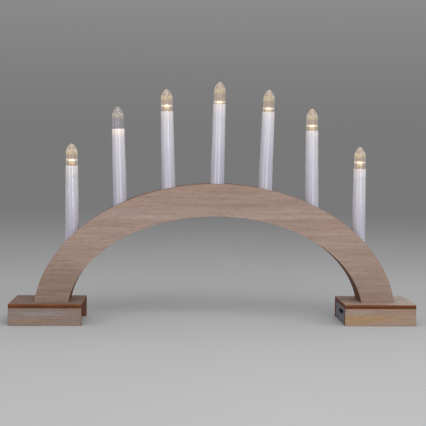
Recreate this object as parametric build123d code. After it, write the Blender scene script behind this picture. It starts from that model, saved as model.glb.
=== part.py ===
from build123d import *
import math
import os

# All lengths are in millimetres and all angles in degrees.
# X runs along the arch, Y from its front to its rear, Z up from the surface that it stands on.

# Plywood and general cutting
ply = 4.0
glue_gap = 0.2
cut_overrun = 1.0

# Arch: the inner ellipse, the widths that the outer ellipse adds to it, and its sandwich
inner_half_width = 154.2
inner_rise = 103.0
inner_sink = 13.1  # centre of the inner ellipse below the foot tops
leg_width = 35.0  # outer half width less inner half width
crown_height = 33.7  # height of the plates at the middle of the arch
outer_sink = 16.4  # centre of the outer ellipse below the foot tops
arch_depth = 30.0
arch_offset = 2.3  # the arch stands this far right of the middle of the two feet
strip_thickness = 1.5
strip_recess = 0.5  # bent strips lie this far inside the edges of the plates
leg_block_height = 12.0

# Feet
foot_overhang = 22.1  # foot beyond the outer side of the leg
foot_toe = 17.2  # foot beyond the inner side of the leg
screw_shank_dia = 3.5
screw_head_dia = 7.0
screw_length = 14.0
screw_spread = 12.0  # between the two screws of one leg
screw_clearance = 0.1
screw_slot_width = 1.0  # each arm of the cross in the head
screw_slot_depth_share = 0.7  # of the height of the head

# Candles, counted from the left
candle_end_inset = 38.3  # first and last candle inside the outer sides of the legs
candle_offset = 0.5  # the row of candles stands this far right of the middle of the arch
candle_leans = (-0.3, -1.7, -1.6, 1.0, 1.7, -0.7, 0.0)  # each tube's own lean, to the right
tube_length = 96.0
tube_base_dia = 15.2
tube_top_dia = 13.0
tube_wall = 0.8
tube_clearance = 0.25
seat_drops = (13.1, 14.1, 14.3, 13.1, 13.4, 13.1, 12.3)  # below the outer edge, at each block's lower corner
block_cheek = 2.2  # wood left on each side of the bore
block_bore_depth = 8.0
block_floor = 4.0

# Lamp caps
cap_dia = 11.8
cap_height = 23.0  # from the rim of the tube to the tip
cap_taper_height = 10.0  # from the shoulder to the tip
cap_tip_dia = 4.0
cap_wall = 2.5
cap_roof = 3.4  # solid plastic above the hollow, with the tip
cap_neck_length = 7.0
cap_clearance = 0.3

# Lamp holders and their diodes
led_rises = (5.3, -5.0, 5.1, 1.5, 3.0, 4.5, 6.0)  # top of each holder above the rim of its tube
holder_stem_length = 14.0
holder_plug_length = 10.0
holder_clearance = 0.1
holder_ridge_pitch = 1.6
holder_groove_depth = 0.5
holder_groove_height = 0.7
led_flange_dia = 5.8
led_flange_height = 0.8
led_dia = 4.8
led_body_height = 0.3
led_lens_height = 0.9

# Battery cells and their box in the right foot
cell_count = 3
cell_dia = 14.0
cell_length = 50.5
cell_nub_dia = 5.5
cell_nub_height = 1.2
cell_gap = 1.0
cell_side_room = 1.0
cell_clearance = 0.15
box_wall = 1.2
box_roof = 1.0
box_rail_height = 0.6
box_rail_width = 1.4
box_end_inset = 0.5
box_side_clearance = 0.3
box_floor_gap = 1.3
cover_thickness = 1.0
cover_clearance = 0.3
cover_lip_thickness = 1.2
cover_lip_height = 4.0
cover_grip_count = 4
cover_grip_pitch = 2.5
cover_grip_width = 1.0
cover_grip_depth = 0.4
cover_grip_length = 20.0
contact_thickness = 0.5
contact_spring_reach = 4.5
contact_spring_width = 6.0
contact_spring_height = 9.0
contact_height = 13.0
contact_inset = 1.0  # plates end this far inside the sides of their cells

# Switch in the inner end of the box
switch_room = 10.4
switch_slot_length = 14.5
switch_slot_height = 3.8
switch_drop = 5.9  # middle of the slot below the top of the box
switch_shift = 8.5  # middle of the slot in front of the middle of the box
switch_body_margin = 2.0
switch_body_depth = 5.0
switch_recess = 1.5
knob_length = 8.5
knob_rise = 2.0
knob_clearance = 0.3
knob_groove_count = 3
knob_groove_width = 0.6
knob_groove_depth = 0.5

# Wiring
wire_dia = 1.2
wire_spacing = 2.6
wire_room = 0.4
wire_hole_dia = 5.6
wire_hole_wall = 1.3  # wood between the hole and the inner side of the leg block
wire_groove_depth = 2.0
wire_lift = 4.0  # main run above the soffit strip
wire_rise = 1.0  # first bend above the leg block
wire_path_start = 24.0  # angle on the ellipse where the main run begins to follow the soffit
wire_path_points = 14
wire_tight_bend = 2.0
wire_bend = 3.0
wire_leg_bend = 15.0
wire_path_bend = 50.0
splice_dia = 2.2

# Battery box, sized by its cells, from the foot top downwards
cell_pitch = cell_dia + cell_gap
bay_half = (cell_count * cell_pitch - cell_gap) / 2 + cell_side_room
box_half = bay_half + box_wall
box_height = box_roof + cell_dia + 2 * cell_clearance + cover_thickness + box_rail_height
bay_length = cell_length + 2 * contact_thickness + contact_spring_reach
box_length = 3 * box_wall + switch_room + bay_length

# Feet, sized by the box that one of them holds
foot_wall_height = box_floor_gap + box_height
foot_height = foot_wall_height + ply
foot_half_depth = box_half + box_side_clearance + ply

# Arch ellipses, and the sides of the legs where they meet the feet
inner_centre = foot_height - inner_sink
outer_centre = foot_height - outer_sink
outer_half_width = inner_half_width + leg_width
outer_rise = inner_centre + inner_rise + crown_height - outer_centre
leg_inner = inner_half_width * math.sqrt(1 - (inner_sink / inner_rise) ** 2)
leg_outer = outer_half_width * math.sqrt(1 - (outer_sink / outer_rise) ** 2)
leg_middle = (leg_inner + leg_outer) / 2
plate_gap = arch_depth - 2 * ply
foot_inner = leg_inner - foot_toe
foot_outer = leg_outer + foot_overhang

# Candle fits
candle_count = len(candle_leans)
candle_pitch = 2 * (outer_half_width - candle_end_inset) / (candle_count - 1)
tube_bore_dia = tube_top_dia - 2 * tube_wall
block_bore_dia = tube_base_dia + 2 * tube_clearance
block_width = block_bore_dia + 2 * block_cheek
cap_neck_dia = tube_bore_dia - 2 * cap_clearance
cap_bore_dia = cap_dia - 2 * cap_wall
holder_stem_dia = cap_bore_dia - 2 * cap_clearance
holder_plug_dia = tube_bore_dia - 2 * holder_clearance

# Heights in the box
roof_under = foot_wall_height - box_roof
cell_axis = roof_under - cell_clearance - cell_dia / 2
cover_top = cell_axis - cell_dia / 2 - cell_clearance
cover_under = cover_top - cover_thickness
switch_height = foot_wall_height - switch_drop

# Places along the box
box_inner = foot_inner + box_end_inset
box_outer = box_inner + box_length
room_inner = box_inner + box_wall
room_outer = room_inner + switch_room
bay_inner = room_outer + box_wall
bay_outer = bay_inner + bay_length
switch_back = room_inner + switch_body_depth


def block(x_span, y_span, z_span):
    """A box between two places on each axis."""
    size = Box(x_span[1] - x_span[0], y_span[1] - y_span[0], z_span[1] - z_span[0], align=(Align.MIN,) * 3)
    return Pos(x_span[0], y_span[0], z_span[0]) * size


def upright(diameter, bottom, top):
    """A cylinder on the Z axis between two heights."""
    shape = Cylinder(diameter / 2, top - bottom, align=(Align.CENTER, Align.CENTER, Align.MIN))
    return Pos(0, 0, bottom) * shape


def turned(*edges):
    """A solid turned about the Z axis from a closed outline of edges on the XZ plane."""
    return revolve(make_face(Wire(edges)), Axis.Z)


def turned_corners(*corners):
    """A solid turned about the Z axis from a closed outline of (radius, height) corners."""
    return revolve(make_face(Polyline(*[(r, 0, z) for r, z in corners], close=True)), Axis.Z)


def arch_disc(half_width, rise, centre, depth):
    """An elliptical disc, upright on the XZ plane and centred on it."""
    disc = extrude(Ellipse(half_width, rise), depth / 2, both=True)
    return Pos(arch_offset, 0, centre) * Rot(90, 0, 0) * disc


def above(solid, height):
    """The part of a solid above a height."""
    box = solid.bounding_box()
    low = min(box.min.Z, height) - cut_overrun
    x_span = (box.min.X - cut_overrun, box.max.X + cut_overrun)
    y_span = (box.min.Y - cut_overrun, box.max.Y + cut_overrun)
    return solid - block(x_span, y_span, (low, height))


def arch_band(outer_inset, inner_inset, depth):
    """The band between the two arch ellipses, each moved into the wood, standing on the foot tops."""
    outer_size = (outer_half_width - outer_inset, outer_rise - outer_inset)
    inner_size = (inner_half_width + inner_inset, inner_rise + inner_inset)
    outer = arch_disc(*outer_size, outer_centre, depth)
    hollow = arch_disc(*inner_size, inner_centre, depth + cut_overrun)
    return above(outer - hollow, foot_height)


def bent_strip(half_width, rise, centre):
    """A strip between the plates, bent along an ellipse that is its outer face."""
    outer = arch_disc(half_width, rise, centre, plate_gap)
    hollow = arch_disc(half_width - strip_thickness, rise - strip_thickness, centre, plate_gap + cut_overrun)
    return above(outer - hollow, foot_height)


def candle_frame(index):
    """The middle of a tube's foot, with Z along the tube."""
    place = candle_offset + candle_pitch * (index - (candle_count - 1) / 2)
    downhill = (abs(place) + block_width / 2) / outer_half_width
    edge = outer_centre + outer_rise * math.sqrt(1 - downhill**2)
    return Pos(arch_offset + place, 0, edge - seat_drops[index]) * Rot(0, candle_leans[index], 0)


nodes = {}
frames = [candle_frame(i) for i in range(candle_count)]

# Arch plates and the two strips bent between them
plate = arch_band(0, 0, ply)
nodes["front_arch_plate"] = Pos(0, (ply - arch_depth) / 2, 0) * plate
nodes["rear_arch_plate"] = Pos(0, (arch_depth - ply) / 2, 0) * plate
crown_strip = bent_strip(outer_half_width - strip_recess, outer_rise - strip_recess, outer_centre)
for frame in frames:
    crown_strip -= frame * upright(block_bore_dia, 0, tube_length)
nodes["crown_strip"] = crown_strip
soffit_inset = strip_recess + strip_thickness
nodes["soffit_strip"] = bent_strip(inner_half_width + soffit_inset, inner_rise + soffit_inset, inner_centre)

# Blocks between the plates: one in each leg, one under each candle
leg_inset = soffit_inset + glue_gap
leg_top = foot_height + leg_block_height
wire_hole_at = arch_offset + leg_inner + leg_inset + wire_hole_wall + wire_hole_dia / 2
leg_blocks = arch_band(leg_inset, leg_inset, plate_gap)
leg_blocks -= above(leg_blocks, leg_top)
screw_places = [
    (arch_offset + side * leg_middle, end * screw_spread / 2) for side in (-1, 1) for end in (-1, 1)
]
screw_head_height = (screw_head_dia - screw_shank_dia) / 2
screw = turned_corners(
    (0, 0),
    (screw_head_dia / 2, 0),
    (screw_shank_dia / 2, screw_head_height),
    (screw_shank_dia / 2, screw_length),
    (0, screw_length),
)
slot_half = screw_shank_dia / 2
slot_side = screw_slot_width / 2
slot_span = (-cut_overrun, screw_head_height * screw_slot_depth_share)
for turn in (0, 90):
    screw -= Rot(0, 0, turn) * block((-slot_half, slot_half), (-slot_side, slot_side), slot_span)
screw_hole = turned_corners(
    (0, -cut_overrun),
    (screw_head_dia / 2 + screw_clearance, -cut_overrun),
    (screw_head_dia / 2 + screw_clearance, 0),
    (screw_shank_dia / 2 + screw_clearance, screw_head_height),
    (screw_shank_dia / 2 + screw_clearance, screw_length + screw_clearance),
    (0, screw_length + screw_clearance),
)
screw_spots = [Pos(x, y, foot_wall_height) for x, y in screw_places]
for spot in screw_spots:
    leg_blocks -= spot * screw_hole
wire_hole = upright(wire_hole_dia, foot_height - cut_overrun, leg_top + cut_overrun)
leg_blocks -= Pos(wire_hole_at, 0, 0) * wire_hole
left_blocks = [solid for solid in leg_blocks.solids() if solid.center().X < 0]
right_blocks = [solid for solid in leg_blocks.solids() if solid.center().X > 0]
nodes["left_leg_block"] = Compound(left_blocks)
nodes["right_leg_block"] = Compound(right_blocks)
nodes["foot_screws"] = Compound([spot * screw for spot in screw_spots])
candle_blocks = []
for frame in frames:
    spot = frame.position
    half = block_width / 2
    x_span = (spot.X - half, spot.X + half)
    wood = block(x_span, (-plate_gap / 2, plate_gap / 2), (spot.Z - block_floor, spot.Z + block_bore_depth))
    wood -= frame * upright(block_bore_dia, 0, block_bore_depth + block_width)
    wood -= frame * upright(wire_hole_dia, -block_floor - cut_overrun, cut_overrun)
    candle_blocks.append(wood)
nodes["candle_blocks"] = Compound(candle_blocks)

# Feet: a top on two walls
wall_span = (0, foot_wall_height)
top_span = (foot_wall_height, foot_height)
front_span = (-foot_half_depth, ply - foot_half_depth)
rear_span = (foot_half_depth - ply, foot_half_depth)
wire_half = wire_spacing / 2 + wire_dia / 2 + wire_room
exit_at = room_outer - wire_bend
exit_span = (exit_at - wire_dia, room_outer)
groove_span = (exit_span[0], wire_hole_at)
groove_top = foot_wall_height + wire_groove_depth
for side, x_span in (("left", (-foot_outer, -foot_inner)), ("right", (foot_inner, foot_outer))):
    top = block(x_span, (-foot_half_depth, foot_half_depth), top_span)
    for spot in screw_spots:
        top -= spot * screw_hole
    if side == "right":
        top -= Pos(wire_hole_at, 0, 0) * upright(wire_hole_dia, foot_wall_height, foot_height + cut_overrun)
        top -= block(groove_span, (-wire_half, wire_half), (foot_wall_height - cut_overrun, groove_top))
    nodes[f"{side}_foot_top"] = top
    nodes[f"{side}_foot_front_wall"] = block(x_span, front_span, wall_span)
    nodes[f"{side}_foot_rear_wall"] = block(x_span, rear_span, wall_span)

# Candle tubes
tube_base = tube_base_dia / 2
tube_top = tube_top_dia / 2
tube = turned_corners(
    (tube_base - tube_wall, 0), (tube_base, 0), (tube_top, tube_length), (tube_top - tube_wall, tube_length)
)

# Clear caps: a neck inside the rim, a straight side, and a pointed taper that runs smoothly into a round tip
cap_side = cap_dia / 2
cap_neck = cap_neck_dia / 2
cap_bore = cap_bore_dia / 2
cap_tip = cap_tip_dia / 2
cap_shoulder = cap_height - cap_taper_height
tip_centre = cap_height - cap_tip
taper_rise = tip_centre - cap_shoulder
taper_radius = (cap_side**2 + taper_rise**2 - cap_tip**2) / (2 * (cap_side - cap_tip))
taper_angle = math.atan2(taper_rise, taper_radius - cap_side)
tip_join = (cap_tip * math.cos(taper_angle), 0, tip_centre + cap_tip * math.sin(taper_angle))
hollow_top = cap_height - cap_roof
hollow_spring = hollow_top - cap_bore
cap = turned(
    Line((cap_bore, 0, -cap_neck_length), (cap_neck, 0, -cap_neck_length)),
    Line((cap_neck, 0, -cap_neck_length), (cap_neck, 0, 0)),
    Line((cap_neck, 0, 0), (cap_side, 0, 0)),
    Line((cap_side, 0, 0), (cap_side, 0, cap_shoulder)),
    TangentArc((cap_side, 0, cap_shoulder), tip_join, tangent=(0, 0, 1)),
    TangentArc((0, 0, cap_height), tip_join, tangent=(1, 0, 0)),
    Line((0, 0, cap_height), (0, 0, hollow_top)),
    TangentArc((0, 0, hollow_top), (cap_bore, 0, hollow_spring), tangent=(1, 0, 0)),
    Line((cap_bore, 0, hollow_spring), (cap_bore, 0, -cap_neck_length)),
)

# Holders: a ridged stem up into the cap, on a plug that grips the tube
stem = holder_stem_dia / 2
holder = upright(holder_stem_dia, -holder_stem_length, 0)
holder += upright(holder_plug_dia, -holder_stem_length - holder_plug_length, -holder_stem_length)
ridge_count = int((holder_stem_length - holder_groove_height) // holder_ridge_pitch)
for step in range(1, ridge_count + 1):
    groove_low = -step * holder_ridge_pitch
    groove_high = groove_low + holder_groove_height
    groove = upright(holder_stem_dia + cut_overrun, groove_low, groove_high)
    groove -= upright(holder_stem_dia - 2 * holder_groove_depth, groove_low, groove_high)
    holder -= groove

# Diodes: a flange, a short body and a shallow lens
led_radius = led_dia / 2
led_flange = led_flange_dia / 2
lens_base = led_flange_height + led_body_height
lens_top = lens_base + led_lens_height
led = turned(
    Line((0, 0, 0), (led_flange, 0, 0)),
    Line((led_flange, 0, 0), (led_flange, 0, led_flange_height)),
    Line((led_flange, 0, led_flange_height), (led_radius, 0, led_flange_height)),
    Line((led_radius, 0, led_flange_height), (led_radius, 0, lens_base)),
    TangentArc((0, 0, lens_top), (led_radius, 0, lens_base), tangent=(1, 0, 0)),
    Line((0, 0, lens_top), (0, 0, 0)),
)

for number, (frame, rise) in enumerate(zip(frames, led_rises), start=1):
    rim = frame * Pos(0, 0, tube_length)
    nodes[f"candle_tube_{number}"] = frame * tube
    nodes[f"lamp_cap_{number}"] = rim * cap
    nodes[f"lamp_holder_{number}"] = rim * Pos(0, 0, rise) * holder
    nodes[f"lamp_led_{number}"] = rim * Pos(0, 0, rise) * led

# Battery box: open below, with rails for the cover and a wall between the switch and the cells
box_span = (box_inner, box_outer)
bay_span = (-bay_half, bay_half)
partition_low = cover_top + cover_clearance
switch_middle = -switch_shift
slot_y = (switch_middle - switch_slot_length / 2, switch_middle + switch_slot_length / 2)
slot_z = (switch_height - switch_slot_height / 2, switch_height + switch_slot_height / 2)
corner_y = bay_half - wire_dia / 2 - wire_room
corner_z = cover_top + wire_dia / 2 + wire_room
contact_half = cell_dia / 2 - contact_inset
lead_y = contact_half - cell_pitch * (cell_count - 1) / 2 - wire_dia
open_low = box_floor_gap - cut_overrun
open_half = bay_half - box_rail_width
battery_box = block(box_span, (-box_half, box_half), (box_floor_gap, foot_wall_height))
battery_box -= block((room_inner, bay_outer), bay_span, (cover_under, roof_under))
battery_box += block((room_outer, bay_inner), bay_span, (partition_low, roof_under))
battery_box -= block((room_inner, box_outer + cut_overrun), bay_span, (cover_under, partition_low))
battery_box -= block((room_inner, box_outer + cut_overrun), (-open_half, open_half), (open_low, cover_top))
battery_box -= block((box_inner - cut_overrun, room_inner + cut_overrun), slot_y, slot_z)
exit_z = (roof_under - cut_overrun, foot_wall_height + cut_overrun)
battery_box -= block(exit_span, (-wire_half, wire_half), exit_z)
notch_y = (corner_y - wire_dia, bay_half)
notch_x = (room_outer - cut_overrun, bay_inner + cut_overrun)
battery_box -= block(notch_x, notch_y, (partition_low - cut_overrun, corner_z + wire_dia))
lead_room = wire_dia / 2 + wire_room
lead_z = (switch_height - lead_room, switch_height + lead_room)
battery_box -= block(notch_x, (lead_y - lead_room, lead_y + lead_room), lead_z)
nodes["battery_box"] = battery_box

# Cover: a plate on the rails, with grip grooves below and a lip outside the end of the box
cover_half = bay_half - cover_clearance
lip_inner = box_outer + cover_clearance
lip_outer = lip_inner + cover_lip_thickness
cover_y = (-cover_half, cover_half)
battery_cover = block((room_inner + cover_clearance, lip_outer), cover_y, (cover_under, cover_top))
battery_cover += block((lip_inner, lip_outer), cover_y, (cover_under, cover_top + cover_lip_height))
grip_y = (-cover_grip_length / 2, cover_grip_length / 2)
grip_z = (cover_under - cut_overrun, cover_under + cover_grip_depth)
for step in range(1, cover_grip_count + 1):
    grip_outer = lip_inner - step * cover_grip_pitch
    battery_cover -= block((grip_outer - cover_grip_width, grip_outer), grip_y, grip_z)
nodes["battery_cover"] = battery_cover

# Cells side by side, each the other way round from its neighbour
cell_shoulder = cell_length - cell_nub_height
cell = upright(cell_dia, 0, cell_shoulder) + upright(cell_nub_dia, cell_shoulder, cell_length)
cell_places = [cell_pitch * (i - (cell_count - 1) / 2) for i in range(cell_count)]
for index, place in enumerate(cell_places):
    outward = index % 2 == 0
    outward_foot = bay_outer - contact_thickness - cell_length
    inward_foot = bay_inner + contact_thickness + cell_length
    foot = Pos(outward_foot if outward else inward_foot, place, cell_axis)
    nodes[f"battery_cell_{index + 1}"] = foot * Rot(0, 90 if outward else -90, 0) * cell

# Contacts: plates at both ends of the bay join the cells in a row, with a bent leaf at each flat cell end,
# and the last one reaches the side of the bay, where a wire meets it
leaf_half = contact_spring_height / 2
leaf_slot = contact_thickness * 2 * contact_spring_reach / contact_spring_height
leaf_outline = Polyline(
    (0, 0, leaf_half),
    (contact_spring_reach, 0, 0),
    (0, 0, -leaf_half),
    (0, 0, contact_thickness - leaf_half),
    (contact_spring_reach - leaf_slot, 0, 0),
    (0, 0, leaf_half - contact_thickness),
    close=True,
)
leaf = extrude(make_face(leaf_outline), contact_spring_width / 2, both=True)
contact_z = (cell_axis - contact_height / 2, cell_axis + contact_height / 2)
contacts = []
for at_outer in (False, True):
    first = 0 if at_outer else -1
    for pair in range(first, cell_count, 2):
        cells = [i for i in (pair, pair + 1) if 0 <= i < cell_count]
        last = at_outer and cells[-1] == cell_count - 1
        side = bay_half if last else cell_places[cells[-1]] + contact_half
        contact_y = (cell_places[cells[0]] - contact_half, side)
        start = bay_outer - contact_thickness if at_outer else bay_inner
        contact = block((start, start + contact_thickness), contact_y, contact_z)
        for i in cells:
            outward = i % 2 == 0
            if outward and not at_outer:
                contact += Pos(start + contact_thickness, cell_places[i], cell_axis) * leaf
            if at_outer and not outward:
                contact += Pos(start, cell_places[i], cell_axis) * Rot(0, 180, 0) * leaf
        contacts.append(contact)
nodes["battery_contacts"] = Compound(contacts)

# Switch: a body behind the end wall, with a knob through the slot at the rear end of its travel
body_y = (slot_y[0] - switch_body_margin, slot_y[1] + switch_body_margin)
body_z = (slot_z[0] - switch_body_margin, slot_z[1] + switch_body_margin)
recess_back = room_inner + switch_recess
switch_body = block((room_inner, switch_back), body_y, body_z)
switch_body -= block((room_inner - cut_overrun, recess_back), slot_y, slot_z)
nodes["switch_body"] = switch_body
knob_x = (box_inner - knob_rise, recess_back - knob_clearance)
knob_y = (slot_y[1] - knob_clearance - knob_length, slot_y[1] - knob_clearance)
knob_z = (slot_z[0] + knob_clearance, slot_z[1] - knob_clearance)
knob = block(knob_x, knob_y, knob_z)
groove_x = (knob_x[0] - cut_overrun, knob_x[0] + knob_groove_depth)
groove_z = (knob_z[0] - cut_overrun, knob_z[1] + cut_overrun)
for step in range(1, knob_groove_count + 1):
    middle = knob_y[0] + knob_length * step / (knob_groove_count + 1)
    knob -= block(groove_x, (middle - knob_groove_width / 2, middle + knob_groove_width / 2), groove_z)
nodes["switch_knob"] = knob


def swept_wire(points, radii):
    """A wire along straight runs and tangent arcs."""
    path = FilletPolyline(*points, radius=radii)
    return sweep(Plane(path @ 0, z_dir=path % 0) * Circle(wire_dia / 2), path)


def path_height(place):
    """The height of the main run above the soffit, at a distance from the middle of the arch."""
    return inner_centre + path_rise * math.sqrt(1 - (place / path_half_width) ** 2)


def arch_wire(start_points, start_radii, y):
    """A wire from the box through the foot top and the leg, along the arch, with a branch to each holder."""
    groove_axis = foot_wall_height + wire_groove_depth / 2
    points = start_points + [
        (exit_at, y, groove_axis),
        (wire_hole_at, y, groove_axis),
        (wire_hole_at, y, leg_top + wire_rise),
    ]
    for step in range(wire_path_points):
        angle = wire_path_start + (path_end - wire_path_start) * step / (wire_path_points - 1)
        place = path_half_width * math.cos(math.radians(angle))
        points.append((arch_offset + place, y, path_height(place)))
    path_radii = [wire_bend] * 2 + [wire_leg_bend] + [wire_path_bend] * (wire_path_points - 1)
    wire = swept_wire(points, start_radii + path_radii)
    for frame, rise in zip(frames, led_rises):
        foot = frame.position
        branch_low = path_height(foot.X - arch_offset) - foot.Z
        branch_top = tube_length + rise - holder_stem_length - holder_plug_length
        branch = upright(wire_dia, branch_low, branch_top) + Pos(0, 0, branch_low) * Sphere(splice_dia / 2)
        wire += frame * Pos(0, y, 0) * branch
    return wire


# The main run follows the soffit from the right leg to the branch of the first candle
path_half_width = inner_half_width + soffit_inset + wire_lift
path_rise = inner_rise + soffit_inset + wire_lift
path_end = math.degrees(math.acos((frames[0].position.X - arch_offset) / path_half_width))

# Two wires: one from the last cell, one from the switch, which a short lead joins to the first cell
wire_y = wire_spacing / 2
nodes["wire_positive"] = arch_wire(
    [
        (bay_outer - contact_thickness, corner_y, corner_z),
        (exit_at, corner_y, corner_z),
        (exit_at, wire_y, corner_z),
    ],
    [wire_bend, wire_bend],
    wire_y,
)
switch_wire = arch_wire(
    [(switch_back, -wire_y, switch_height), (exit_at, -wire_y, switch_height)], [wire_tight_bend], -wire_y
)
lead = Pos(switch_back, lead_y, switch_height) * Rot(0, 90, 0) * upright(wire_dia, 0, bay_inner - switch_back)
nodes["wire_negative"] = Compound(switch_wire.solids() + lead.solids())

os.makedirs("parts", exist_ok=True)
for name, shape in nodes.items():
    export_step(shape, f"parts/{name}.step")
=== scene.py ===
"""The looks of the candle arch: its materials, the studio and the camera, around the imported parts."""

import math

import bpy
from mathutils import Matrix, Vector


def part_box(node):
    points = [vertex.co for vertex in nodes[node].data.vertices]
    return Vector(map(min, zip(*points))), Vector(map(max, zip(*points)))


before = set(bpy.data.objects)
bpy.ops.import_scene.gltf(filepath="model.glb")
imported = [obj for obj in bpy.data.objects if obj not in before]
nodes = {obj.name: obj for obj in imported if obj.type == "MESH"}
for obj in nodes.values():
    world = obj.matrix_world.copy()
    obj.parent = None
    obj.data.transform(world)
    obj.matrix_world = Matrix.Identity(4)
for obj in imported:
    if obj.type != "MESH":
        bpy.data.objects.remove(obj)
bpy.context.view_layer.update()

MM = 0.001
X, Y, Z = range(3)
ORIGIN = (0.0, 0.0, 0.0)
WHITE = (1.0, 1.0, 1.0)
SIDES = ("left", "right")
CANDLES = range(1, 8)
LOW_LAMP_CANDLE = 2

# Edges of the arch in X and Z, as ellipses in metres
ARCH_MIDDLE = 2.3 * MM
OUTER_ELLIPSE = dict(middle=(ARCH_MIDDLE, 5.8 * MM), half=(189.2 * MM, 140.0 * MM))
INNER_ELLIPSE = dict(middle=(ARCH_MIDDLE, 9.1 * MM), half=(154.2 * MM, 103.0 * MM))

# Sockets of a Mix node: factor, first, second and result
NUMBER_SOCKETS = (0, 2, 3, 0)
COLOUR_SOCKETS = (0, 6, 7, 2)

# The band that holds most values of a noise
NOISE_BAND = (0.3, 0.7)


# Shader helpers: most of them add nodes and give the socket that these end in
def fill(socket, value):
    """Sets an input, or links it where the value is a socket. A colour is given without its alpha."""
    if isinstance(value, bpy.types.NodeSocket):
        socket.id_data.links.new(value, socket)
    elif socket.type == "RGBA":
        socket.default_value = (*value, 1.0)
    else:
        socket.default_value = value


def add(tree, kind, inputs=None, **settings):
    """A shader node with its settings and inputs."""
    made = tree.nodes.new("ShaderNode" + kind)
    for key, value in settings.items():
        setattr(made, key, value)
    for key, value in (inputs or {}).items():
        fill(made.inputs[key], value)
    return made


def calc(tree, operation, *values):
    """A sum on numbers."""
    return add(tree, "Math", dict(enumerate(values)), operation=operation).outputs[0]


def away_from(tree, value, place):
    """How far a number is from a place, either way."""
    return calc(tree, "ABSOLUTE", calc(tree, "SUBTRACT", value, place))


def remap(tree, value, low, high, to_low=0.0, to_high=1.0, smooth=True):
    """A number moved from one range to another, and held inside it."""
    kind = "SMOOTHSTEP" if smooth else "LINEAR"
    inputs = {"Value": value, "From Min": low, "From Max": high, "To Min": to_low, "To Max": to_high}
    return add(tree, "MapRange", inputs, interpolation_type=kind).outputs[0]


def spread(tree, pattern, to_low=0.0, to_high=1.0):
    """A noise pattern, made to fill a range."""
    return remap(tree, pattern, *NOISE_BAND, to_low, to_high)


def parts(tree, vector):
    """The three numbers of a vector."""
    return add(tree, "SeparateXYZ", {0: vector}).outputs


def length(tree, vector):
    """The length of a vector."""
    return add(tree, "VectorMath", {0: vector}, operation="LENGTH").outputs["Value"]


def stretched(tree, vector, scale, shift=ORIGIN):
    """A vector with its axes scaled and moved."""
    return add(tree, "Mapping", {"Vector": vector, "Scale": scale, "Location": shift}).outputs[0]


def ellipse_reach(tree, vector, middle, half):
    """How far out a place is in an ellipse in X and Z: 0 in its middle, 1 on its edge."""
    scale = (1.0 / half[0], 0.0, 1.0 / half[1])
    shift = (-middle[0] / half[0], 0.0, -middle[1] / half[1])
    return length(tree, stretched(tree, vector, scale, shift))


def noise(tree, vector, waves, shift=ORIGIN, detail=3.0, roughness=0.55, distortion=0.0):
    """Smooth noise between about 0.2 and 0.8, with so many waves in a unit along each axis."""
    inputs = {
        "Vector": stretched(tree, vector, waves, shift),
        "Scale": 1.0,
        "Detail": detail,
        "Roughness": roughness,
        "Distortion": distortion,
    }
    return add(tree, "TexNoise", inputs).outputs["Fac"]


def between(tree, factor, first, second):
    """A mix of two numbers."""
    *inputs, result = NUMBER_SOCKETS
    return add(tree, "Mix", dict(zip(inputs, (factor, first, second)))).outputs[result]


def mix(tree, factor, first, second, blend="MIX"):
    """A mix of two colours."""
    *inputs, result = COLOUR_SOCKETS
    values = dict(zip(inputs, (factor, first, second)))
    return add(tree, "Mix", values, data_type="RGBA", blend_type=blend).outputs[result]


def shaded(tree, colour, shade):
    """A colour times another."""
    return mix(tree, 1.0, colour, shade, blend="MULTIPLY")


def ramp(tree, factor, stops):
    """A colour picked along a row of (place, colour) stops."""
    made = add(tree, "ValToRGB", {"Fac": factor})
    row = made.color_ramp.elements
    while len(row) < len(stops):
        row.new(1.0)
    for stop, (place, colour) in zip(row, stops):
        stop.position = place
        stop.color = (*colour, 1.0)
    return made.outputs[0]


def bump(tree, height, strength, distance):
    """A surface normal from a height."""
    return add(tree, "Bump", {"Height": height, "Strength": strength, "Distance": distance}).outputs[0]


def new_material(name):
    """A new material, its node tree and its shader, which is joined to the output."""
    material = bpy.data.materials.new(name)
    material.use_nodes = True
    tree = material.node_tree
    tree.nodes.clear()
    shader = add(tree, "BsdfPrincipled")
    output = add(tree, "OutputMaterial")
    tree.links.new(shader.outputs[0], output.inputs["Surface"])
    return material, tree, shader


def dress(shader, **inputs):
    """Sets or links the inputs of a shader, named with underscores for spaces."""
    for key, value in inputs.items():
        fill(shader.inputs[key.replace("_", " ")], value)


def paint(material, *names):
    """Gives a material to CAD nodes."""
    for name in names:
        slots = nodes[name].material_slots
        if not slots:
            nodes[name].data.materials.append(material)
        for slot in slots:
            slot.material = material


# Plywood: veneer on the faces, burnt and layered on the cut edges
TAN_DARK = (0.315, 0.231, 0.193)
TAN_LIGHT = (0.402, 0.308, 0.267)
ROSY = (0.398, 0.268, 0.200)
FLECK = (0.135, 0.074, 0.047)
AMBER = (0.480, 0.305, 0.160)
ASHEN = (0.430, 0.385, 0.345)
# Painted sheen on the right end of the right foot's top
TOP_PAINTED_SHEEN = (0.530, 0.470, 0.430)
# Brown of the legs' feet: the veneer's tone and painted shade
LEG_BROWN_AND_SHADE = (0.268, 0.187, 0.146)
BURNT_DARK = (0.078, 0.021, 0.006)
BURNT_LIGHT = (0.200, 0.066, 0.021)
# Smoke stain and painted shade on the faces inside the feet
SMOKE_AND_SHADE = (0.165, 0.062, 0.027)

# Waves per metre along X, Y and Z; the grain of the veneer runs along X
BROAD_WAVES = (4.0, 60.0, 60.0)
ROSY_WAVES = (9.0, 75.0, 75.0)
ROSY_SHIFT = (3.0, 1.0, 5.0)
LINE_WAVES = (8.0, 560.0, 560.0)
STREAK_WAVES = (38.0, 900.0, 900.0)
FIBRE_WAVES = (110.0, 3200.0, 3200.0)
PORE_WAVES = (210.0, 2300.0, 2300.0)
FIGURE_WAVES = (45.0, 500.0, 500.0)
SOOT_WAVES = (60.0, 60.0, 200.0)
SPECK_WAVES = (900.0, 900.0, 900.0)
SCORCH_WAVES = (260.0, 260.0, 260.0)

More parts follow.
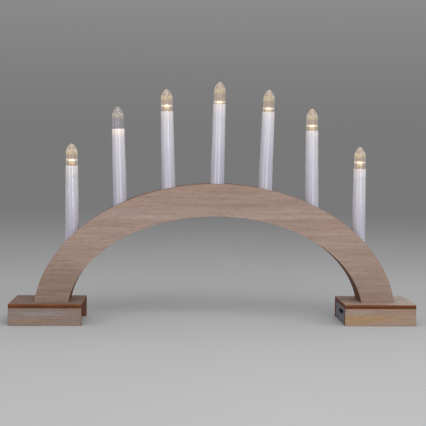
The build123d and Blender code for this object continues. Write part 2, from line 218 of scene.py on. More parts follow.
# Bands in which a pattern sets in, and the share that it then covers
BROAD_BAND = (0.25, 0.75)
ROSY_BAND = (0.42, 0.70)
ROSY_SHARE = 0.55
FLECK_BAND = (0.62, 0.70)
FLECK_SHARE = 0.45
SPECK_BAND = (0.35, 0.75)
SPECK_SHARE = 0.30
FIGURE_BAND = (1.75, 0.75)
SMOKE_AND_SHADE_BAND = (0.2, 0.8)
SMOKE_AND_SHADE_SHARES = (0.70, 0.92)
SCORCH_SHARES = (0.25, 1.0)

# Dark and light shade of each fine pattern, and the tint of the dark ones
GRAIN_STOPS = (0.28, 0.70)
LINE_SHADES = (0.91, 1.05)
STREAK_SHADES = (0.87, 1.07)
FIBRE_SHADES = (0.90, 1.07)
GRAIN_TINT = (1.0, 0.98, 0.965)

# Shades of the layers through a sheet; the bright last stop is partly a painted highlight along the cut's
# corner on that side
PLIES_AND_EDGE_HIGHLIGHT = [
    (0.0, (0.70, 0.62, 0.58)),
    (0.30, (0.88, 0.82, 0.78)),
    (0.36, (0.66, 0.58, 0.54)),
    (0.44, (0.92, 0.86, 0.82)),
    (0.62, (1.30, 1.32, 1.30)),
    (0.70, (1.05, 1.02, 1.0)),
    (0.86, (1.30, 1.34, 1.32)),
    (1.0, (2.0, 2.2, 2.2)),
]

# Burning: its strength beside a cut, the shade of the cut, and how far it reaches into a face
ARCH_BURN = dict(scorch=0.4, char=0.75)
FOOT_BURN = dict(scorch=0.6, char=1.0)
SCORCH_DEPTH = 0.7 * MM

# Normals along a sheet's thickness: past the first a side is a face, past the second its smoke stain and
# painted shade are full
FACE_LIMIT = 0.6
SMOKE_AND_SHADE_LIMIT = 0.7

# Heights of the pores and the fibre, and the roughness at each
VENEER_HEIGHTS = (-0.6, 0.8)
VENEER_ROUGHNESS = (0.72, 0.52)


def figured(tree, texture, colour, figures):
    """Ragged lens-shaped patches in a veneer, with their middle and half size as shares of its box; some
    carry painted shade and painted sheen.
    """
    ragged = noise(tree, texture.outputs["Object"], FIGURE_WAVES)
    for figure in figures:
        reach = ellipse_reach(tree, texture.outputs["Generated"], figure["middle"], figure["half"])
        ragged_reach = calc(tree, "ADD", reach, ragged)
        share = remap(tree, ragged_reach, *FIGURE_BAND, to_high=figure["strength"])
        colour = mix(tree, share, colour, figure["colour"])
    return colour


def veneer(tree, texture, shift, tint, figures):
    """Colour and height of a veneer face with its grain along X."""
    moved = add(tree, "VectorMath", {0: texture.outputs["Object"], 1: shift}, operation="ADD").outputs[0]
    broad = noise(tree, moved, BROAD_WAVES, detail=2.0)
    rosy = noise(tree, moved, ROSY_WAVES, ROSY_SHIFT)
    lines = noise(tree, moved, LINE_WAVES)
    streaks = noise(tree, moved, STREAK_WAVES, detail=2.0)
    fibre = noise(tree, moved, FIBRE_WAVES, detail=2.0)
    pores = noise(tree, moved, PORE_WAVES, detail=1.0)
    colour = mix(tree, remap(tree, broad, *BROAD_BAND), TAN_DARK, TAN_LIGHT)
    colour = mix(tree, remap(tree, rosy, *ROSY_BAND, to_high=ROSY_SHARE), colour, ROSY)
    colour = figured(tree, texture, colour, figures)
    colour = shaded(tree, colour, tint)
    for pattern, (dark, light) in ((lines, LINE_SHADES), (streaks, STREAK_SHADES), (fibre, FIBRE_SHADES)):
        shades = [tuple(dark * part for part in GRAIN_TINT), (light,) * 3]
        colour = shaded(tree, colour, ramp(tree, pattern, list(zip(GRAIN_STOPS, shades))))
    flecks = remap(tree, pores, *FLECK_BAND)
    colour = mix(tree, calc(tree, "MULTIPLY", flecks, FLECK_SHARE), colour, FLECK)
    return colour, calc(tree, "SUBTRACT", fibre, flecks)


def burnt_edge(tree, coords, layer, char):
    """Colour of a laser-cut edge; layer runs from 0 to 1 through the sheet."""
    soot = noise(tree, coords, SOOT_WAVES, detail=4.0, roughness=0.6)
    specks = noise(tree, coords, SPECK_WAVES, detail=2.0)
    colour = mix(tree, soot, BURNT_DARK, BURNT_LIGHT)
    colour = shaded(tree, colour, ramp(tree, layer, PLIES_AND_EDGE_HIGHLIGHT))
    colour = mix(tree, remap(tree, specks, *SPECK_BAND, to_high=SPECK_SHARE), colour, BURNT_DARK)
    return shaded(tree, colour, (char,) * 3)


def ellipse_gap(tree, coords, ellipse, sense):
    """Roughly the distance in metres from an edge of the arch, into the wood."""
    mean_radius = sum(ellipse["half"]) / 2
    beyond = calc(tree, "SUBTRACT", ellipse_reach(tree, coords, **ellipse), 1.0)
    return calc(tree, "MULTIPLY", beyond, sense * mean_radius)


def side_gap(tree, place, low, high):
    """Distance in metres from the nearer of two sides."""
    return calc(tree, "SUBTRACT", (high - low) / 2, away_from(tree, place, (low + high) / 2))


def plywood(name, node, thin_axis, tint=WHITE, shift=ORIGIN, figures=(), inside=0.0, arch=False):
    """A plywood sheet: veneer on the faces square to thin_axis, burnt edges on the other sides.

    inside is the sense along thin_axis of a face inside a foot that is browned by smoke stain and painted
    shade, or 0 for none."""
    material, tree, shader = new_material(name)
    texture = add(tree, "TexCoord")
    coords = texture.outputs["Object"]
    place = parts(tree, coords)
    facing = parts(tree, texture.outputs["Normal"])[thin_axis]
    low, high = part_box(node)
    layer = remap(tree, place[thin_axis], low[thin_axis], high[thin_axis], smooth=False)
    face = calc(tree, "GREATER_THAN", calc(tree, "ABSOLUTE", facing), FACE_LIMIT)
    colour, height = veneer(tree, texture, shift, tint, figures)
    if arch:
        burn = ARCH_BURN
        edges = ((OUTER_ELLIPSE, -1.0), (INNER_ELLIPSE, 1.0))
        gaps = [ellipse_gap(tree, coords, ellipse, sense) for ellipse, sense in edges]
    else:
        burn = FOOT_BURN
        wide_axes = [axis for axis in (X, Y, Z) if axis != thin_axis]
        gaps = [side_gap(tree, place[axis], low[axis], high[axis]) for axis in wide_axes]
    gap = calc(tree, "MINIMUM", *gaps)
    ragged = noise(tree, coords, SCORCH_WAVES)
    scorch = remap(tree, gap, 0.0, SCORCH_DEPTH, burn["scorch"], 0.0)
    scorch = calc(tree, "MULTIPLY", scorch, spread(tree, ragged, *SCORCH_SHARES))
    colour = mix(tree, scorch, colour, BURNT_LIGHT)
    # Faces inside a foot get smoke stain and painted shade, where little light reaches
    if inside:
        inward = remap(tree, calc(tree, "MULTIPLY", facing, inside), FACE_LIMIT, SMOKE_AND_SHADE_LIMIT)
        smoke_and_shade = calc(tree, "MULTIPLY", inward, remap(tree, ragged, *SMOKE_AND_SHADE_BAND, *SMOKE_AND_SHADE_SHARES))
        colour = mix(tree, smoke_and_shade, colour, SMOKE_AND_SHADE)
    colour = mix(tree, face, burnt_edge(tree, coords, layer, burn["char"]), colour)
    rough = remap(tree, height, *VENEER_HEIGHTS, *VENEER_ROUGHNESS, smooth=False)
    dress(shader, Base_Color=colour, Roughness=rough, Specular_IOR_Level=0.2)
    dress(shader, Normal=bump(tree, height, strength=0.25, distance=0.25 * MM))
    return material


# Sheets of the arch: where each lies in the veneer, and its figures: brown at the legs' feet, the veneer's
# tone and painted shade, darker at the left leg
ARCH_SHIFTS = {"front": ORIGIN, "rear": (0.7, 0.0, 0.3)}
ARCH_FIGURES = [
    dict(middle=(0.07, 0.05), half=(0.12, 0.36), colour=LEG_BROWN_AND_SHADE, strength=0.85),
    dict(middle=(0.93, 0.05), half=(0.12, 0.32), colour=LEG_BROWN_AND_SHADE, strength=0.50),
]
for place, shift in ARCH_SHIFTS.items():
    node = f"{place}_arch_plate"
    paint(plywood(f"plywood_arch_{place}", node, Y, shift=shift, figures=ARCH_FIGURES, arch=True), node)

# Sheets of the feet: where each lies in the veneer, and the tints and figures of both sides; the tints are
# partly painted shade
TOP_SHIFT = (1.3, 0.4, 0.0)
# The top's underside gets smoke stain and painted shade
TOP_INSIDE = -1.0
# The left top's tint darkens it as painted shade under the arch; the right's is near plain
TOP_TINTS_AND_SHADE = {"left": (0.70, 0.62, 0.58), "right": (1.0, 0.99, 0.98)}
TOP_FIGURES = {
    "left": [],
    # Its pale figure at the right end is a painted sheen
    "right": [dict(middle=(0.92, 1.0), half=(0.36, 1.0), colour=TOP_PAINTED_SHEEN, strength=0.7)],
}
WALL_SHIFTS = {"front": (4.2, 0.0, 0.8), "rear": (5.7, 0.0, 1.7)}
# The walls' inner faces get smoke stain and painted shade
WALL_INSIDES = {"front": 1.0, "rear": -1.0}
# The walls' tints darken them as painted shade, the left more, on top of their tone
WALL_TINTS_AND_SHADE = {"left": (0.72, 0.745, 0.785), "right": (0.88, 0.865, 0.80)}
WALL_FIGURES = {
    "left": [
        dict(middle=(0.14, 0.28), half=(0.55, 0.10), colour=AMBER, strength=0.7),
        dict(middle=(0.40, 0.72), half=(0.50, 0.20), colour=ASHEN, strength=0.6),
    ],
    "right": [
        dict(middle=(0.26, 0.42), half=(0.75, 0.22), colour=AMBER, strength=0.72),
        dict(middle=(0.16, 0.20), half=(0.34, 0.14), colour=AMBER, strength=0.5),
        dict(middle=(0.18, 0.76), half=(0.24, 0.14), colour=ASHEN, strength=0.6),
    ],
}
for side in SIDES:
    node = f"{side}_foot_top"
    looks = dict(tint=TOP_TINTS_AND_SHADE[side], shift=TOP_SHIFT, figures=TOP_FIGURES[side], inside=TOP_INSIDE)
    paint(plywood(f"plywood_{side}_top", node, Z, **looks), node)
    for wall, inside in WALL_INSIDES.items():
        node = f"{side}_foot_{wall}_wall"
        looks = dict(tint=WALL_TINTS_AND_SHADE[side], shift=WALL_SHIFTS[wall], figures=WALL_FIGURES[side])
        paint(plywood(f"plywood_{side}_{wall}", node, Y, inside=inside, **looks), node)

# Strips along the arch and blocks inside it
CROWN_DARK = (0.190, 0.112, 0.070)
CROWN_LIGHT = (0.300, 0.200, 0.140)
# The soffit's browns: the strip's tone, darkened as painted shade under the arch
SOFFIT_DARK_AND_SHADE = (0.120, 0.052, 0.024)
SOFFIT_LIGHT_AND_SHADE = (0.210, 0.104, 0.052)
STRIP_GRAIN_WAVES = (55.0, 900.0, 55.0)
STRIP_SOOT_WAVES = (70.0, 120.0, 70.0)
STRIP_SOOT_BAND = (0.42, 0.75)
STRIP_SOOT_SHARE = 0.7
BLOCK_DARK = (0.40, 0.29, 0.19)
BLOCK_LIGHT = (0.55, 0.43, 0.30)
RING_WAVES = (30.0, 260.0, 300.0)
RING_BAND = (0.35, 0.68)
SAW_WAVES = (1500.0, 60.0, 60.0)


def strip_wood(name, dark, light):
    """A thin strip bent along the arch, with its grain along the bend."""
    material, tree, shader = new_material(name)
    coords = add(tree, "TexCoord").outputs["Object"]
    grain = noise(tree, coords, STRIP_GRAIN_WAVES)
    soot = noise(tree, coords, STRIP_SOOT_WAVES, detail=4.0, roughness=0.65)
    colour = mix(tree, spread(tree, grain), dark, light)
    colour = mix(tree, remap(tree, soot, *STRIP_SOOT_BAND, to_high=STRIP_SOOT_SHARE), colour, BURNT_DARK)
    dress(shader, Base_Color=colour, Roughness=spread(tree, grain, 0.62, 0.78), Specular_IOR_Level=0.3)
    dress(shader, Normal=bump(tree, grain, strength=0.25, distance=0.2 * MM))
    return material


def block_wood():
    """Sawn softwood of the inner blocks."""
    material, tree, shader = new_material("block_wood")
    coords = add(tree, "TexCoord").outputs["Object"]
    rings = noise(tree, coords, RING_WAVES, distortion=0.8)
    saw = noise(tree, coords, SAW_WAVES, detail=2.0)
    colour = mix(tree, remap(tree, rings, *RING_BAND), BLOCK_DARK, BLOCK_LIGHT)
    dress(shader, Base_Color=colour, Roughness=spread(tree, saw, 0.7, 0.85))
    dress(shader, Normal=bump(tree, saw, strength=0.3, distance=0.2 * MM))
    return material


paint(strip_wood("strip_crown", CROWN_DARK, CROWN_LIGHT), "crown_strip")
paint(strip_wood("strip_soffit", SOFFIT_DARK_AND_SHADE, SOFFIT_LIGHT_AND_SHADE), "soffit_strip")
paint(block_wood(), "left_leg_block", "right_leg_block", "candle_blocks")

# Candle tubes: glossy plastic, with the lamp's light inside and light from above painted on towards the rim
TUBE_DARK = (0.495, 0.486, 0.570)
TUBE_LIGHT = (0.530, 0.519, 0.602)
TUBE_PAINTED_TOP_LIGHT = (0.615, 0.602, 0.668)
TUBE_GLOW = (1.0, 0.80, 0.56)
DRAWN_WAVES = (900.0, 900.0, 7.0)
CLOUD_WAVES = (60.0, 60.0, 25.0)
STRIPE_WAVES = (420.0, 420.0, 5.0)
STRIPE_SHADES = [(0.32, (0.90, 0.895, 0.93)), (0.68, (1.05, 1.045, 1.02))]

# Up a tube: the share of its length where its painted light from above starts to turn it paler, and the
# most of the pale colour and of the rim's painted warm light
PAINTED_TOP_LIGHT_FROM = 0.30
PAINTED_TOP_LIGHT_SHARE = 0.85
PAINTED_RIM_LIGHT_SHARE = 0.7

# Power that shapes the rim's painted glow, and strength at the rim of a painted glow that rises along the
# whole tube
RIM_FADE = 1.6
LENGTH_GLOW = 0.05


def tube_plastic(name, painted_rim_light, rim_glow, glow_depth):
    """Moulded white plastic, with a warm painted glow and paler, warmer painted light that fade downwards
    from the rim.

    glow_depth is the share of the length in which the rim's glow fades."""
    material, tree, shader = new_material(name)
    texture = add(tree, "TexCoord")
    coords = texture.outputs["Object"]
    along = parts(tree, texture.outputs["Generated"])[Z]
    drawn = noise(tree, coords, DRAWN_WAVES, detail=2.0)
    cloud = noise(tree, coords, CLOUD_WAVES)
    stripe = noise(tree, coords, STRIPE_WAVES, detail=2.0)
    colour = mix(tree, spread(tree, cloud), TUBE_DARK, TUBE_LIGHT)
    colour = shaded(tree, colour, ramp(tree, stripe, STRIPE_SHADES))
    # Paler towards the top and warmer at the rim: painted light from above and of the lamp inside
    colour = mix(tree, remap(tree, along, PAINTED_TOP_LIGHT_FROM, 1.0, to_high=PAINTED_TOP_LIGHT_SHARE), colour, TUBE_PAINTED_TOP_LIGHT)
    rim = remap(tree, along, 1.0 - glow_depth, 1.0)
    colour = mix(tree, calc(tree, "MULTIPLY", rim, PAINTED_RIM_LIGHT_SHARE), colour, painted_rim_light)
    glow = calc(tree, "MULTIPLY", calc(tree, "POWER", rim, RIM_FADE), rim_glow)
    glow = calc(tree, "ADD", glow, remap(tree, along, 0.0, 1.0, to_high=LENGTH_GLOW))
    dress(shader, Base_Color=colour, Roughness=spread(tree, drawn, 0.08, 0.13), Specular_IOR_Level=0.9)
    dress(shader, Subsurface_Weight=0.6, Subsurface_Radius=(1.0, 0.9, 0.8), Subsurface_Scale=3.0 * MM)
    dress(shader, Normal=bump(tree, drawn, strength=0.02, distance=0.1 * MM))
    dress(shader, Emission_Color=TUBE_GLOW, Emission_Strength=glow)
    return material


plain_tube = tube_plastic("candle_plastic", painted_rim_light=(0.66, 0.62, 0.66), rim_glow=0.05, glow_depth=0.14)
low_lamp_tube = tube_plastic(
    "candle_plastic_low_lamp", painted_rim_light=(0.68, 0.62, 0.58), rim_glow=0.26, glow_depth=0.13)
for number in CANDLES:
    paint(low_lamp_tube if number == LOW_LAMP_CANDLE else plain_tube, f"candle_tube_{number}")

# Clear caps: colours of the lamp's light painted on them as a glow, and of their painted highlights
CAP_WARM = (1.0, 0.75, 0.61)
CAP_COOL = (0.98, 0.86, 1.0)
CAP_SHOULDER_HIGHLIGHT = (1.0, 0.82, 0.48)
CAP_TIP_HIGHLIGHT = (1.0, 0.97, 0.95)
LAMP_WHITE = (1.0, 0.90, 0.72)

# Places and distances along a cap, as shares of its height
BODY_BAND = (0.48, 0.62)
SHOULDER_PLACE = 0.70
SHOULDER_REACH = 0.13
TIP_BAND = (0.88, 0.96)
LAMP_RING_BAND = (0.036, 0.006)
HALO_REACH = 0.14

# Across a cap, as shares of its width: what centres a place on its axis, and where its wall lies
ACROSS = (1.0, 1.0, 0.0)
TO_AXIS = (-0.5, -0.5, 0.0)
WALL_BAND = (0.31, 0.35)

# Strengths of a cap's painted light, its glow and highlights, which run in streaks
SHOULDER_LIGHT = 0.10
TIP_LIGHT = 0.15
HALO_SHARE = 0.25
CAP_STREAK_WAVES = (7.0, 7.0, 0.5)
CAP_STREAK_BAND = (0.35, 0.68)
CAP_STREAK_SHARES = (0.45, 1.2)

# Height of a diode's rim, its brightest place, above its foot
DIODE_RIM = 0.8 * MM

# The cap over the low lamp, and the other caps
COOL_CAP = dict(tint=(0.930, 0.920, 0.960), body_colour=CAP_COOL, inner=0.030, outer=0.040, band=0.0)
WARM_CAP = dict(tint=(0.930, 0.860, 0.800), body_colour=CAP_WARM, inner=0.040, outer=0.105, band=0.20)


def cap_plastic(number, tint, body_colour, inner, outer, band):
    """Clear moulded plastic, with the lamp's light painted on it as a glow and painted highlights.

    inner and outer are the strengths on its bore and its outside, band that around the diode."""
    material, tree, shader = new_material(f"clear_plastic_{number}")
    local = add(tree, "TexCoord").outputs["Generated"]
    along = parts(tree, local)[Z]
    radius = length(tree, stretched(tree, local, ACROSS, TO_AXIS))
    streak = noise(tree, local, CAP_STREAK_WAVES, detail=2.0)
    tip = remap(tree, along, *TIP_BAND)
    outside = calc(tree, "MAXIMUM", remap(tree, radius, *WALL_BAND), tip)
    shoulder_highlight = remap(tree, away_from(tree, along, SHOULDER_PLACE), SHOULDER_REACH, 0.0)
    (cap_low, cap_high), diode_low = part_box(f"lamp_cap_{number}"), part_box(f"lamp_led_{number}")[0]
    lamp_place = (diode_low[Z] + DIODE_RIM - cap_low[Z]) / (cap_high[Z] - cap_low[Z])
    lamp_away = away_from(tree, along, lamp_place)
    ring = remap(tree, lamp_away, *LAMP_RING_BAND)
    halo = remap(tree, lamp_away, HALO_REACH, 0.0)
    light = outer
    # Painted highlights on the shoulder and the tip, and the lamp's painted glow around the diode
    for place, strength in ((shoulder_highlight, SHOULDER_LIGHT), (tip, TIP_LIGHT), (halo, HALO_SHARE * band)):
        light = calc(tree, "ADD", light, calc(tree, "MULTIPLY", place, strength))
    light = calc(tree, "MULTIPLY", light, remap(tree, streak, *CAP_STREAK_BAND, *CAP_STREAK_SHARES))
    light = calc(tree, "ADD", light, calc(tree, "MULTIPLY", ring, band))
    light = between(tree, outside, inner, light)
    colour = mix(tree, remap(tree, along, *BODY_BAND), body_colour, CAP_WARM)
    colour = mix(tree, shoulder_highlight, colour, CAP_SHOULDER_HIGHLIGHT)
    colour = mix(tree, tip, colour, CAP_TIP_HIGHLIGHT)
    colour = mix(tree, calc(tree, "MULTIPLY", ring, outside), colour, LAMP_WHITE)
    dress(shader, Base_Color=tint, Roughness=spread(tree, streak, 0.08, 0.12))
    dress(shader, IOR=1.46, Transmission_Weight=1.0)
    dress(shader, Sheen_Weight=0.8, Sheen_Roughness=0.3, Sheen_Tint=(1.0, 0.95, 0.86))
    dress(shader, Emission_Color=colour, Emission_Strength=light)
    return material


for number in CANDLES:
    looks = COOL_CAP if number == LOW_LAMP_CANDLE else WARM_CAP
    paint(cap_plastic(number, **looks), f"lamp_cap_{number}")

# Holders with the diode's light painted on as a glow, and lit diodes: bands are shares of their own height
HOLDER_DARK = (0.50, 0.44, 0.32)
HOLDER_LIGHT = (0.62, 0.56, 0.43)
HOLDER_GLOW = (0.98, 0.90, 0.66)
HOLDER_WAVES = (400.0, 400.0, 700.0)
RIDGE_BAND = (0.5, 0.75)
RIDGE_LIGHT = 0.14
NECK_BAND = (0.78, 1.0)
NECK_LIGHT = 0.26
DIODE_TOP = (0.95, 0.86, 0.70)
DIODE_BASE = (1.0, 0.95, 0.82)
DIODE_GLOW = (1.0, 0.93, 0.80)
DIODE_WAVES = (900.0, 900.0, 900.0)
DIODE_BAND = (0.85, 0.45)
DIODE_BASE_LIGHT = 0.4
DIODE_EVEN_LIGHT = (0.22, 0.34)


def holder_plastic():
    """Milky plastic, with the light of the diode above it painted on as a glow."""
    material, tree, shader = new_material("holder_plastic")
    texture = add(tree, "TexCoord")
    along = parts(tree, texture.outputs["Generated"])[Z]
    cloud = noise(tree, texture.outputs["Object"], HOLDER_WAVES)
    colour = mix(tree, spread(tree, cloud), HOLDER_DARK, HOLDER_LIGHT)
    ridges = remap(tree, along, *RIDGE_BAND, to_high=RIDGE_LIGHT)
    neck = remap(tree, along, *NECK_BAND, to_high=NECK_LIGHT)
    dress(shader, Base_Color=colour, Roughness=spread(tree, cloud, 0.35, 0.5), Subsurface_Weight=0.2)
    dress(shader, Subsurface_Radius=(1.0, 0.6, 0.3), Subsurface_Scale=1.0 * MM)
    dress(shader, Emission_Color=HOLDER_GLOW, Emission_Strength=calc(tree, "ADD", ridges, neck))
    dress(shader, Normal=bump(tree, cloud, strength=0.15, distance=0.15 * MM))
    return material


def diode():
    """A lit warm white diode: brightest in its lower part."""
    material, tree, shader = new_material("diode")
    texture = add(tree, "TexCoord")
    along = parts(tree, texture.outputs["Generated"])[Z]
    cloud = noise(tree, texture.outputs["Object"], DIODE_WAVES, detail=2.0)
    base = remap(tree, along, *DIODE_BAND)
    base_light = calc(tree, "MULTIPLY", base, DIODE_BASE_LIGHT)
    light = calc(tree, "ADD", base_light, spread(tree, cloud, *DIODE_EVEN_LIGHT))
    dress(shader, Base_Color=mix(tree, base, DIODE_TOP, DIODE_BASE), Roughness=0.08)
    dress(shader, IOR=1.5, Transmission_Weight=0.4)
    dress(shader, Emission_Color=DIODE_GLOW, Emission_Strength=light)
    return material


paint(holder_plastic(), *(f"lamp_holder_{number}" for number in CANDLES))
paint(diode(), *(f"lamp_led_{number}" for number in CANDLES))

# Battery box, switch, wires, metal and cells
# The box's greys are darkened in part as painted shade inside the foot
BOX_DARK_AND_SHADE = (0.125, 0.121, 0.152)
BOX_LIGHT_AND_SHADE = (0.165, 0.160, 0.196)
SWITCH_DARK = (0.004, 0.004, 0.005)
SWITCH_LIGHT = (0.008, 0.008, 0.010)
RED_DARK = (0.30, 0.020, 0.016)
RED_LIGHT = (0.40, 0.034, 0.026)
BLACK_DARK = (0.011, 0.011, 0.012)
BLACK_LIGHT = (0.022, 0.022, 0.023)
SCREW_STEEL = (0.66, 0.65, 0.60)
CONTACT_STEEL = (0.70, 0.70, 0.69)
JACKET = (0.045, 0.052, 0.065)
JACKET_BAND = (0.30, 0.20, 0.09)
CELL_END = (0.62, 0.62, 0.64)
SCUFF = (0.20, 0.20, 0.21)

# Their patterns: waves per metre, bands in which these set in, and shares and shades
MOULD_CLOUD_WAVES = (70.0, 70.0, 70.0)
MOULD_ROUGH_SPREAD = 0.08
SCREW_WAVES = (500.0, 500.0, 900.0)
CONTACT_WAVES = (900.0, 120.0, 900.0)
STAIN_WAVES = (300.0, 300.0, 300.0)
STAIN_BAND = (0.4, 0.75)
STAIN_SHADE = 0.72
METAL_SMOOTHER, METAL_ROUGHER = 0.08, 0.12
SCUFF_WAVES = (60.0, 400.0, 400.0)
SCUFF_BAND = (0.55, 0.8)
SCUFF_SHARE = 0.35

# A cell: its middle and the lighter bands' distance from it, as shares of its length, and its ends' normal
CELL_MIDDLE = 0.5
JACKET_BAND_EDGE = (0.27, 0.28)
CELL_END_LIMIT = 0.7


def moulded(name, dark, light, grain, rough):
    """Moulded plastic with a fine spark-eroded grain, in waves per metre."""
    material, tree, shader = new_material(name)
    coords = add(tree, "TexCoord").outputs["Object"]
    cloud = noise(tree, coords, MOULD_CLOUD_WAVES)
    pits = noise(tree, coords, (grain,) * 3, detail=2.0)
    dress(shader, Base_Color=mix(tree, spread(tree, cloud), dark, light))
    dress(shader, Roughness=spread(tree, pits, rough - MOULD_ROUGH_SPREAD, rough + MOULD_ROUGH_SPREAD))
    dress(shader, Normal=bump(tree, pits, strength=0.2, distance=0.1 * MM))
    return material


def metal(name, colour, waves, rough):
    """Drawn or plated metal with fine streaks."""
    material, tree, shader = new_material(name)
    coords = add(tree, "TexCoord").outputs["Object"]
    lines = noise(tree, coords, waves)
    stain = noise(tree, coords, STAIN_WAVES)
    dull = tuple(STAIN_SHADE * part for part in colour)
    dress(shader, Base_Color=mix(tree, remap(tree, stain, *STAIN_BAND), colour, dull), Metallic=1.0)
    dress(shader, Roughness=spread(tree, lines, rough - METAL_SMOOTHER, rough + METAL_ROUGHER))
    dress(shader, Normal=bump(tree, lines, strength=0.1, distance=0.05 * MM))
    return material


def cell_jacket():
    """A plain dark jacket along X, with metal ends and lighter bands beside them."""
    material, tree, shader = new_material("cell_jacket")
    texture = add(tree, "TexCoord")
    facing = parts(tree, texture.outputs["Normal"])[X]
    end = calc(tree, "GREATER_THAN", calc(tree, "ABSOLUTE", facing), CELL_END_LIMIT)
    along = parts(tree, texture.outputs["Generated"])[X]
    band = remap(tree, away_from(tree, along, CELL_MIDDLE), *JACKET_BAND_EDGE)
    scuff = noise(tree, texture.outputs["Object"], SCUFF_WAVES, detail=4.0)
    colour = mix(tree, band, JACKET, JACKET_BAND)
    colour = mix(tree, end, colour, CELL_END)
    colour = mix(tree, remap(tree, scuff, *SCUFF_BAND, to_high=SCUFF_SHARE), colour, SCUFF)
    dress(shader, Base_Color=colour, Metallic=end, Roughness=spread(tree, scuff, 0.28, 0.45))
    return material


box_plastic = moulded("box_plastic", BOX_DARK_AND_SHADE, BOX_LIGHT_AND_SHADE, grain=2200.0, rough=0.5)
switch_plastic = moulded("switch_plastic", SWITCH_DARK, SWITCH_LIGHT, grain=2600.0, rough=0.55)
paint(box_plastic, "battery_box", "battery_cover")
paint(switch_plastic, "switch_body", "switch_knob")
paint(moulded("wire_red", RED_DARK, RED_LIGHT, grain=1500.0, rough=0.4), "wire_positive")
paint(moulded("wire_black", BLACK_DARK, BLACK_LIGHT, grain=1500.0, rough=0.4), "wire_negative")
paint(metal("screw_steel", SCREW_STEEL, SCREW_WAVES, rough=0.32), "foot_screws")
paint(metal("contact_steel", CONTACT_STEEL, CONTACT_WAVES, rough=0.28), "battery_contacts")
paint(cell_jacket(), "battery_cell_1", "battery_cell_2", "battery_cell_3")

# Studio: a pale floor that runs into a pale background, with lengths in metres
FLOOR_SIDE = 40.0
FLOOR_NEAR, FLOOR_FAR = 0.25, 2.0
FLOOR_SHADE = (0.50, 0.50, 0.505)
FLOOR_CLOUD_SHADE = 0.97
FLOOR_WAVES = (3.0, 3.0, 3.0)
FILL_LEVEL = 0.47
BACKDROP_LOW, BACKDROP_HIGH = 0.190, 0.300
BACKDROP_RISE = 0.30


def seen_directly(tree):
    """1 where the camera, a gloss or a clear piece looks, 0 for the light on the object."""
    path = add(tree, "LightPath").outputs
    through = calc(tree, "MAXIMUM", path["Is Glossy Ray"], path["Is Transmission Ray"])
    return calc(tree, "MAXIMUM", path["Is Camera Ray"], through)


def floor():
    """A wide floor with a faint cloudiness, which fades into the backdrop far away."""
    half = FLOOR_SIDE / 2
    corners = [(-half, -half, 0.0), (half, -half, 0.0), (half, half, 0.0), (-half, half, 0.0)]
    mesh = bpy.data.meshes.new("floor")
    mesh.from_pydata(corners, [], [(0, 1, 2, 3)])
    made = bpy.data.objects.new("floor", mesh)
    bpy.context.scene.collection.objects.link(made)
    material, tree, shader = new_material("floor_paper")
    coords = add(tree, "TexCoord").outputs["Object"]
    cloud = noise(tree, coords, FLOOR_WAVES)
    cloud_colour = tuple(FLOOR_CLOUD_SHADE * part for part in FLOOR_SHADE)
    dress(shader, Base_Color=mix(tree, spread(tree, cloud), cloud_colour, FLOOR_SHADE))
    dress(shader, Roughness=0.85, Specular_IOR_Level=0.0)
    far = remap(tree, length(tree, coords), FLOOR_NEAR, FLOOR_FAR)
    hazy = calc(tree, "MULTIPLY", far, seen_directly(tree))
    haze = add(tree, "Emission", {"Color": (BACKDROP_LOW,) * 3}).outputs[0]
    faded = add(tree, "MixShader", {0: hazy, 1: shader.outputs[0], 2: haze}).outputs[0]
    tree.links.new(faded, tree.get_output_node("ALL").inputs["Surface"])
    mesh.materials.append(material)


def background():
    """Even light from all round, and a pale backdrop where it is seen or reflected."""
    world = bpy.data.worlds.new("studio")
    bpy.context.scene.world = world
    world.use_nodes = True
    tree = world.node_tree
    tree.nodes.clear()
    height = parts(tree, add(tree, "TexCoord").outputs["Generated"])[Z]
    shades = [(0.0, (BACKDROP_LOW,) * 3), (1.0, (BACKDROP_HIGH,) * 3)]
    backdrop = ramp(tree, remap(tree, height, 0.0, BACKDROP_RISE), shades)
    colour = mix(tree, seen_directly(tree), (FILL_LEVEL,) * 3, backdrop)
    light = add(tree, "Background", {"Color": colour, "Strength": 1.0})
    output = add(tree, "OutputWorld")
    tree.links.new(light.outputs[0], output.inputs["Surface"])


def soft_light(name, place, target, size, power):
    """A rectangular soft box that faces a target, and is not seen through clear plastic."""
    data = bpy.data.lights.new(name, "AREA")
    data.shape = "RECTANGLE"
    data.size, data.size_y = size
    data.energy = power
    made = bpy.data.objects.new(name, data)
    bpy.context.scene.collection.objects.link(made)
    made.location = place
    made.rotation_mode = "QUATERNION"
    made.rotation_quaternion = (Vector(target) - Vector(place)).to_track_quat("-Z", "Y")
    made.visible_transmission = False


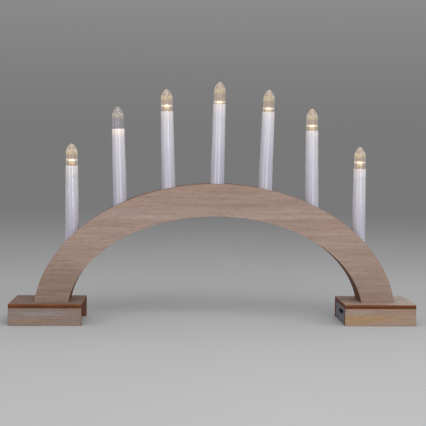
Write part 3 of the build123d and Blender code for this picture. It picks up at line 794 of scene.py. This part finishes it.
floor()
background()
soft_light("key", place=(0.12, -0.70, 0.85), target=(0.02, 0.0, 0.20), size=(0.9, 0.5), power=4.6)
soft_light("side", place=(1.15, -0.45, 0.72), target=(0.10, 0.0, 0.05), size=(0.5, 0.5), power=3.2)
soft_light("panel_left", place=(-0.86, -1.11, 0.30), target=(0.0, 0.0, 0.18), size=(0.40, 0.5), power=1.7)
soft_light("fill_left", place=(-1.00, -0.60, 0.75), target=(0.0, 0.0, 0.20), size=(0.6, 0.6), power=1.6)
soft_light("panel_right", place=(0.34, -1.36, 0.32), target=(0.0, 0.0, 0.18), size=(0.40, 0.5), power=2.4)

# Camera, as fitted to the photograph: place in metres, turns in radians, sensor in millimetres
CAMERA_PLACE = (-0.04452, -0.90554, 0.17714)
CAMERA_YAW, CAMERA_PITCH, CAMERA_ROLL = 0.0480, 0.0688, 0.0109
FOCAL_PIXELS = 863.73
PHOTO_PIXELS = 426.0
SENSOR = 36.0
CLIP_NEAR, CLIP_FAR = 0.01, 100.0


def camera():
    """The camera at the photograph's place and angle."""
    yaw, pitch = CAMERA_YAW, CAMERA_PITCH
    ahead = Vector((math.sin(yaw) * math.cos(pitch), math.cos(yaw) * math.cos(pitch), -math.sin(pitch)))
    level = Vector((math.cos(yaw), -math.sin(yaw), 0.0))
    upward = level.cross(ahead)
    right = math.cos(CAMERA_ROLL) * level + math.sin(CAMERA_ROLL) * upward
    up = math.cos(CAMERA_ROLL) * upward - math.sin(CAMERA_ROLL) * level
    data = bpy.data.cameras.new("camera")
    data.sensor_width = SENSOR
    data.lens = SENSOR * (FOCAL_PIXELS / PHOTO_PIXELS)
    data.clip_start, data.clip_end = CLIP_NEAR, CLIP_FAR
    made = bpy.data.objects.new("camera", data)
    bpy.context.scene.collection.objects.link(made)
    turn = Matrix((right, up, -ahead)).transposed().to_4x4()
    made.matrix_world = Matrix.Translation(CAMERA_PLACE) @ turn
    bpy.context.scene.camera = made


camera()
bpy.context.scene.view_settings.view_transform = "Standard"
